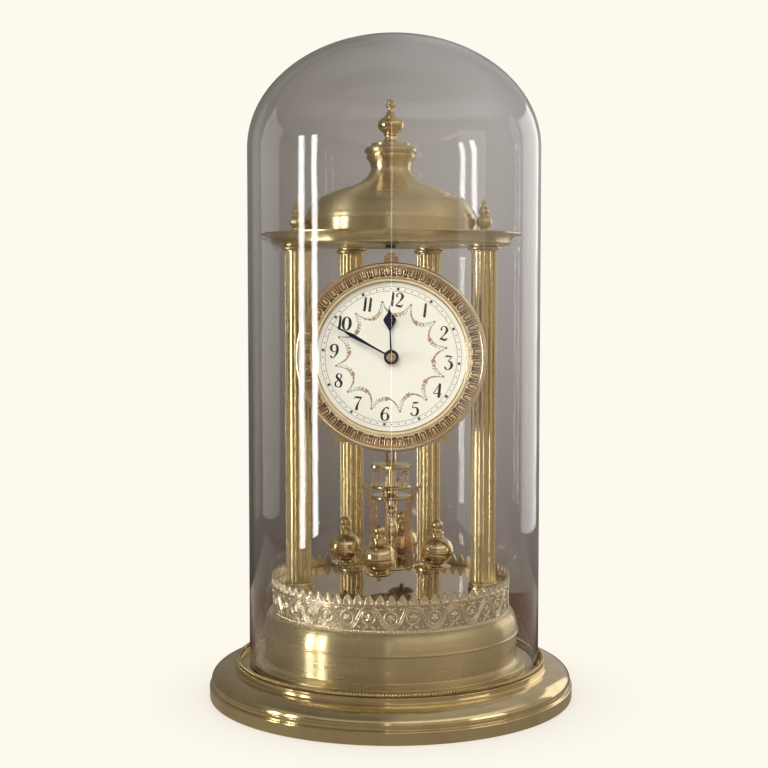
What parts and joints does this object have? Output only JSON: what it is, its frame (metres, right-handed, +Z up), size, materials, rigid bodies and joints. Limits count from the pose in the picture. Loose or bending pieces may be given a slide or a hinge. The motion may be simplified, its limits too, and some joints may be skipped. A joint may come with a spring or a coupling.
{
  "type": "anniversary clock",
  "caption": "Torsion-pendulum mantel clock: round brass plinth, fluted columns, domed canopy, round enamel dial and slowly turning ball pendulum under a lift-off glass dome.",
  "frame": {"origin": "centre of the foot's underside, on the axis of the dome and pendulum", "axes": "+Z up along the dome's axis; the dial faces -Y; +X is to the viewer's right"},
  "size_m": [0.22, 0.22, 0.3961],
  "materials": {
    "polished_brass": "polished and lacquered, warm pale gold",
    "column_brass": "polished, slightly greener than the stand",
    "bezel_brass": "pressed and gilt, warmer than the stand",
    "lyre_brass": "copper-toned sheet brass, satin",
    "movement_brass": "grained plates and wheels",
    "clock_steel": "ground and polished steel",
    "blued_steel": "heat-blued, nearly black",
    "enamel_dial": "fired cream enamel with printed figures and garlands",
    "cast_iron_core": "black painted casting",
    "dome_glass": "clear blown glass"
  },
  "bodies": {
    "stand": {"foot_shell": "polished_brass", "foot_core": "cast_iron_core", "bead_ring": "polished_brass", "plinth_drum": "polished_brass", "gallery_band": "polished_brass", "deck_plate": "polished_brass", "column_front_left": "column_brass", "column_front_right": "column_brass", "column_back_left": "column_brass", "column_back_right": "column_brass", "column_collars": "column_brass", "tie_rods": "clock_steel", "urn_finials": "polished_brass", "canopy": "polished_brass", "roof": "polished_brass", "roof_bolt": "blued_steel", "roof_cap": "polished_brass", "roof_finial": "polished_brass", "movement_bridge": "movement_brass", "movement_screws": "clock_steel", "back_plate": "movement_brass", "front_plate": "movement_brass", "plate_pillars": "movement_brass", "dial": "enamel_dial", "bezel": "bezel_brass", "click_spring": "clock_steel", "suspension_bracket": "movement_brass", "suspension_top_block": "blued_steel", "suspension_spring": "clock_steel"},
    "dome": {"glass_dome": "dome_glass"},
    "centre": {"centre_wheel": "movement_brass", "centre_arbor": "clock_steel", "cannon_pinion": "clock_steel", "minute_hand": "blued_steel", "hand_nut": "movement_brass"},
    "hour": {"hour_wheel": "movement_brass", "hour_hand": "blued_steel"},
    "minute_work": {"minute_wheel": "movement_brass"},
    "third": {"third_wheel": "movement_brass", "third_arbor": "clock_steel"},
    "escape": {"escape_wheel": "movement_brass", "escape_arbor": "clock_steel"},
    "intermediate_1": {"intermediate_wheel_1": "movement_brass", "intermediate_arbor_1": "clock_steel"},
    "intermediate_2": {"intermediate_wheel_2": "movement_brass", "intermediate_arbor_2": "clock_steel"},
    "barrel": {"barrel": "movement_brass", "mainspring": "clock_steel"},
    "winding": {"winding_arbor": "clock_steel", "ratchet_wheel": "clock_steel"},
    "pawl": {"click": "clock_steel"},
    "anchor": {"anchor": "clock_steel"},
    "fork": {"suspension_fork": "movement_brass"},
    "pendulum": {"suspension_bottom_block": "clock_steel", "pendulum_spindle": "polished_brass", "loop_crown": "polished_brass", "lyre_arms": "lyre_brass", "weight_carrier": "polished_brass", "weights": "polished_brass"},
    "regulator": {"regulator_disc": "polished_brass"}
  },
  "joints": [
    {"name": "dome_lift", "type": "slide", "parent": "stand", "child": "dome", "axis": [0, 0, 1], "range_m": [0, 0.345]},
    {"name": "minute_hand_turn", "type": "hinge", "parent": "stand", "child": "centre", "pos_m": [0, 0, 0.2065], "axis": [0, 1, 0], "continuous": true},
    {"name": "hour_hand_turn", "type": "hinge", "parent": "stand", "child": "hour", "pos_m": [0, 0, 0.2065], "axis": [0, 1, 0], "continuous": true},
    {"name": "minute_wheel_turn", "type": "hinge", "parent": "stand", "child": "minute_work", "pos_m": [-0.01128, 0, 0.2024], "axis": [0, 1, 0], "continuous": true},
    {"name": "third_wheel_turn", "type": "hinge", "parent": "stand", "child": "third", "pos_m": [0.00849, 0, 0.21499], "axis": [0, 1, 0], "continuous": true},
    {"name": "escape_wheel_turn", "type": "hinge", "parent": "stand", "child": "escape", "pos_m": [0, 0, 0.22167], "axis": [0, 1, 0], "continuous": true},
    {"name": "intermediate_2_turn", "type": "hinge", "parent": "stand", "child": "intermediate_2", "pos_m": [-0.01315, 0, 0.20763], "axis": [0, 1, 0], "continuous": true},
    {"name": "intermediate_1_turn", "type": "hinge", "parent": "stand", "child": "intermediate_1", "pos_m": [-0.01252, 0, 0.19246], "axis": [0, 1, 0], "continuous": true},
    {"name": "barrel_turn", "type": "hinge", "parent": "stand", "child": "barrel", "pos_m": [0.009, 0, 0.1815], "axis": [0, 1, 0], "continuous": true},
    {"name": "winding_turn", "type": "hinge", "parent": "stand", "child": "winding", "pos_m": [0.009, 0, 0.1815], "axis": [0, 1, 0], "continuous": true, "deforming": ["mainspring"]},
    {"name": "click_lift", "type": "hinge", "parent": "stand", "child": "pawl", "pos_m": [-0.0055, 0, 0.1745], "axis": [0, 1, 0], "range_deg": [0, 20], "stiffness_Nm_per_rad": 0.01},
    {"name": "pendulum_spin", "type": "hinge", "parent": "stand", "child": "pendulum", "pos_m": [0, 0, 0.088], "axis": [0, 0, 1], "range_deg": [-150, 150], "stiffness_Nm_per_rad": 0.000024, "deforming": ["suspension_spring"]},
    {"name": "fork_swing", "type": "hinge", "parent": "stand", "child": "fork", "pos_m": [0, 0, 0.24827], "axis": [0, 0, 1], "range_deg": [-6, 6]},
    {"name": "anchor_rock", "type": "hinge", "parent": "stand", "child": "anchor", "pos_m": [0, 0, 0.23327], "axis": [0, 1, 0], "range_deg": [-2.4, 2.4]},
    {"name": "regulator_turn", "type": "hinge", "parent": "pendulum", "child": "regulator", "pos_m": [0, 0, 0.1372], "axis": [0, 0, 1], "range_deg": [-180, 180]}
  ],
  "couplings": [
    {"joint": "hour_hand_turn", "follows": "minute_hand_turn", "ratio": 0.083333},
    {"joint": "minute_wheel_turn", "follows": "minute_hand_turn", "ratio": -0.33333},
    {"joint": "third_wheel_turn", "follows": "minute_hand_turn", "ratio": -4},
    {"joint": "escape_wheel_turn", "follows": "minute_hand_turn", "ratio": 16},
    {"joint": "intermediate_2_turn", "follows": "minute_hand_turn", "ratio": -0.1},
    {"joint": "intermediate_1_turn", "follows": "minute_hand_turn", "ratio": 0.0095238},
    {"joint": "barrel_turn", "follows": "minute_hand_turn", "ratio": -0.00089286},
    {"joint": "fork_swing", "follows": "pendulum_spin", "ratio": 0.04},
    {"joint": "anchor_rock", "follows": "pendulum_spin", "ratio": 0.016}
  ]
}
